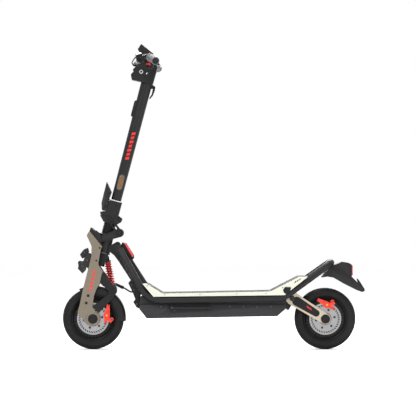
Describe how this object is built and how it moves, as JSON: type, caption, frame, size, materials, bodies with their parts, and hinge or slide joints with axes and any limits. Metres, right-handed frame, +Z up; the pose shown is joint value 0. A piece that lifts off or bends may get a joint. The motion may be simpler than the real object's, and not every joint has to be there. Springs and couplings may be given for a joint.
{
  "type": "electric kick scooter",
  "caption": "Standing electric scooter with tubular side rails, a folding stem, sprung fork and rear arm, hub motors and disc brakes.",
  "frame": {"origin": "on the ground plane under the middle of the overall box, on the scooter's middle plane", "axes": "+X points to the rear wheel, +Y to the rider's right, +Z up; the rider faces -X"},
  "size_m": [1.3282, 0.627, 1.3403],
  "materials": {
    "charcoal_paint": "satin",
    "bronze_paint": "satin metallic",
    "champagne_paint": "satin metallic",
    "ivory_paint": "satin",
    "grey_metal": "satin",
    "machined_aluminium": "satin",
    "disc_steel": "brushed",
    "bearing_steel": "polished",
    "spring_red": "gloss",
    "caliper_red": "satin",
    "tyre_rubber": "matt",
    "soft_rubber": "matt",
    "deck_rubber": "matt",
    "black_plastic": "matt",
    "grey_plastic": "matt",
    "display_plastic": "gloss",
    "red_lens": "gloss",
    "lamp_plastic": "gloss",
    "red_plastic": "matt",
    "cell_wrap": "matt",
    "winding_copper": "varnished"
  },
  "bodies": {
    "frame": {"frame_rails": "charcoal_paint", "frame_neck": "charcoal_paint", "headset_bearings": "bearing_steel", "neck_light": "red_lens", "battery_case": "charcoal_paint", "nose_cover": "black_plastic", "battery_pack": "cell_wrap", "motor_controllers": "machined_aluminium", "deck_plate": "grey_metal", "deck_mat": "deck_rubber", "deck_side_covers": "ivory_paint", "charge_port": "black_plastic", "rear_pivot_bracket": "charcoal_paint", "rear_mudguard": "black_plastic", "tail_light_lens": "red_lens", "motor_cable": "black_plastic"},
    "charge_cap": {"charge_port_cap": "soft_rubber"},
    "kickstand": {"kickstand_leg": "charcoal_paint"},
    "steering": {"steering_column": "charcoal_paint", "column_boot": "soft_rubber", "fold_base": "charcoal_paint"},
    "fork": {"fork_legs": "bronze_paint", "fork_crowns": "charcoal_paint", "fork_braces": "charcoal_paint", "front_mudguard": "black_plastic", "front_caliper": "caliper_red", "front_lamps": "lamp_plastic", "front_motor_core": "winding_copper"},
    "front_wheel": {"front_tyre": "tyre_rubber", "front_hub": "charcoal_paint", "front_brake_disc": "disc_steel"},
    "link_upper": {"torque_link_upper": "charcoal_paint"},
    "link_lower": {"torque_link_lower": "grey_metal"},
    "front_shock_body": {"front_shock_body": "black_plastic", "front_shock_spring": "spring_red"},
    "front_shock_shaft": {"front_shock_shaft": "bearing_steel"},
    "stem": {"fold_knuckle": "charcoal_paint", "stem_tube": "charcoal_paint", "stem_head": "black_plastic", "handlebar": "charcoal_paint", "grips": "soft_rubber", "display_housing": "display_plastic", "brake_masters": "grey_metal", "control_pods": "black_plastic"},
    "fold_lever": {"fold_lever": "charcoal_paint"},
    "left_brake": {"left_brake_lever": "grey_metal"},
    "right_brake": {"right_brake_lever": "grey_metal"},
    "throttle": {"throttle_lever": "black_plastic"},
    "pod_switch": {"pod_switch": "red_plastic"},
    "power_button": {"power_button": "grey_plastic"},
    "bag_hook": {"bag_hook": "grey_plastic"},
    "rear_arm": {"rear_swing_arm": "champagne_paint", "rear_caliper": "caliper_red", "rear_motor_core": "winding_copper"},
    "rear_wheel": {"rear_tyre": "tyre_rubber", "rear_hub": "charcoal_paint", "rear_brake_disc": "disc_steel"},
    "rear_shock_body": {"rear_shock_body": "black_plastic", "rear_shock_spring": "spring_red"},
    "rear_shock_shaft": {"rear_shock_shaft": "bearing_steel"}
  },
  "joints": [
    {"name": "steering", "type": "hinge", "parent": "frame", "child": "steering", "pos_m": [-0.47916, 0, 0.46444], "axis": [0.2526, 0, 0.9676], "range_deg": [-40, 40], "deforming": ["motor_cable"]},
    {"name": "fork_travel", "type": "slide", "parent": "steering", "child": "fork", "axis": [0.2526, 0, 0.9676], "range_m": [0, 0.03], "stiffness_N_per_m": 18000, "springref_m": -0.018},
    {"name": "front_wheel_spin", "type": "hinge", "parent": "fork", "child": "front_wheel", "pos_m": [-0.5293, 0, 0.135], "axis": [0, 1, 0], "continuous": true},
    {"name": "upper_link_swing", "type": "hinge", "parent": "steering", "child": "link_upper", "pos_m": [-0.464, 0, 0.579], "axis": [0, -1, 0], "range_deg": [0, 10.8]},
    {"name": "lower_link_swing", "type": "hinge", "parent": "fork", "child": "link_lower", "pos_m": [-0.5159, 0, 0.4778], "axis": [0, -1, 0], "range_deg": [-10.4, 0]},
    {"name": "front_shock_swing", "type": "hinge", "parent": "steering", "child": "front_shock_body", "pos_m": [-0.472, 0, 0.408], "axis": [0, -1, 0], "range_deg": [0, 6.2]},
    {"name": "front_shock_stroke", "type": "slide", "parent": "front_shock_body", "child": "front_shock_shaft", "axis": [-0.1948, 0, 0.9808], "range_m": [0, 0.0265], "deforming": ["front_shock_spring"]},
    {"name": "stem_fold", "type": "hinge", "parent": "steering", "child": "stem", "pos_m": [-0.4119, 0, 0.571], "axis": [0, 1, 0], "range_deg": [0, 92]},
    {"name": "fold_lever_swing", "type": "hinge", "parent": "stem", "child": "fold_lever", "pos_m": [-0.4809, 0, 0.62], "axis": [0, -1, 0], "range_deg": [0, 60]},
    {"name": "left_brake_pull", "type": "hinge", "parent": "stem", "child": "left_brake", "pos_m": [-0.32583, -0.18251, 1.26299], "axis": [-0.2099, -0.2138, 0.9541], "range_deg": [0, 20], "stiffness_Nm_per_rad": 1.2, "springref_deg": -14.32},
    {"name": "right_brake_pull", "type": "hinge", "parent": "stem", "child": "right_brake", "pos_m": [-0.32583, 0.18251, 1.26299], "axis": [0.2099, -0.2138, -0.9541], "range_deg": [0, 20], "stiffness_Nm_per_rad": 1.2, "springref_deg": -14.32},
    {"name": "throttle_push", "type": "hinge", "parent": "stem", "child": "throttle", "pos_m": [-0.28255, 0.14114, 1.27677], "axis": [0.1062, 0.9943, 0.0097], "range_deg": [0, 25], "stiffness_Nm_per_rad": 0.25, "springref_deg": -17.19},
    {"name": "pod_switch_travel", "type": "slide", "parent": "stem", "child": "pod_switch", "axis": [1, 0, 0], "range_m": [-0.002, 0.002]},
    {"name": "power_button_press", "type": "slide", "parent": "stem", "child": "power_button", "axis": [-0.6264, 0, -0.7795], "range_m": [0, 0.001], "stiffness_N_per_m": 600, "springref_m": -0.001},
    {"name": "bag_hook_swing", "type": "hinge", "parent": "stem", "child": "bag_hook", "pos_m": [-0.26273, 0, 1.15103], "axis": [0, -1, 0], "range_deg": [0, 100]},
    {"name": "rear_arm_swing", "type": "hinge", "parent": "frame", "child": "rear_arm", "pos_m": [0.344, 0, 0.225], "axis": [0, -1, 0], "range_deg": [0, 10], "stiffness_Nm_per_rad": 700, "springref_deg": -4.01},
    {"name": "rear_wheel_spin", "type": "hinge", "parent": "rear_arm", "child": "rear_wheel", "pos_m": [0.4895, 0, 0.135], "axis": [0, 1, 0], "continuous": true},
    {"name": "rear_shock_swing", "type": "hinge", "parent": "frame", "child": "rear_shock_body", "pos_m": [0.24, 0, 0.226], "axis": [0, -1, 0], "range_deg": [0, 2.32]},
    {"name": "rear_shock_stroke", "type": "slide", "parent": "rear_shock_body", "child": "rear_shock_shaft", "axis": [-0.8807, 0, -0.4736], "range_m": [0, 0.009], "deforming": ["rear_shock_spring"]},
    {"name": "kickstand_swing", "type": "hinge", "parent": "frame", "child": "kickstand", "pos_m": [-0.1837, -0.099, 0.1852], "axis": [0, 0.936, -0.352], "range_deg": [0, 88]},
    {"name": "charge_cap_swing", "type": "hinge", "parent": "frame", "child": "charge_cap", "pos_m": [0.333, -0.119, 0.2725], "axis": [0, 1, 0], "range_deg": [0, 120]}
  ],
  "couplings": [
    {"joint": "upper_link_swing", "follows": "fork_travel", "rad_per_m": 6.248},
    {"joint": "lower_link_swing", "follows": "fork_travel", "rad_per_m": -5.998},
    {"joint": "front_shock_swing", "follows": "fork_travel", "rad_per_m": 3.566},
    {"joint": "front_shock_stroke", "follows": "fork_travel", "ratio": 0.878},
    {"joint": "rear_shock_swing", "follows": "rear_arm_swing", "ratio": 0.2295},
    {"joint": "rear_shock_stroke", "follows": "rear_arm_swing", "m_per_rad": 0.0513}
  ]
}
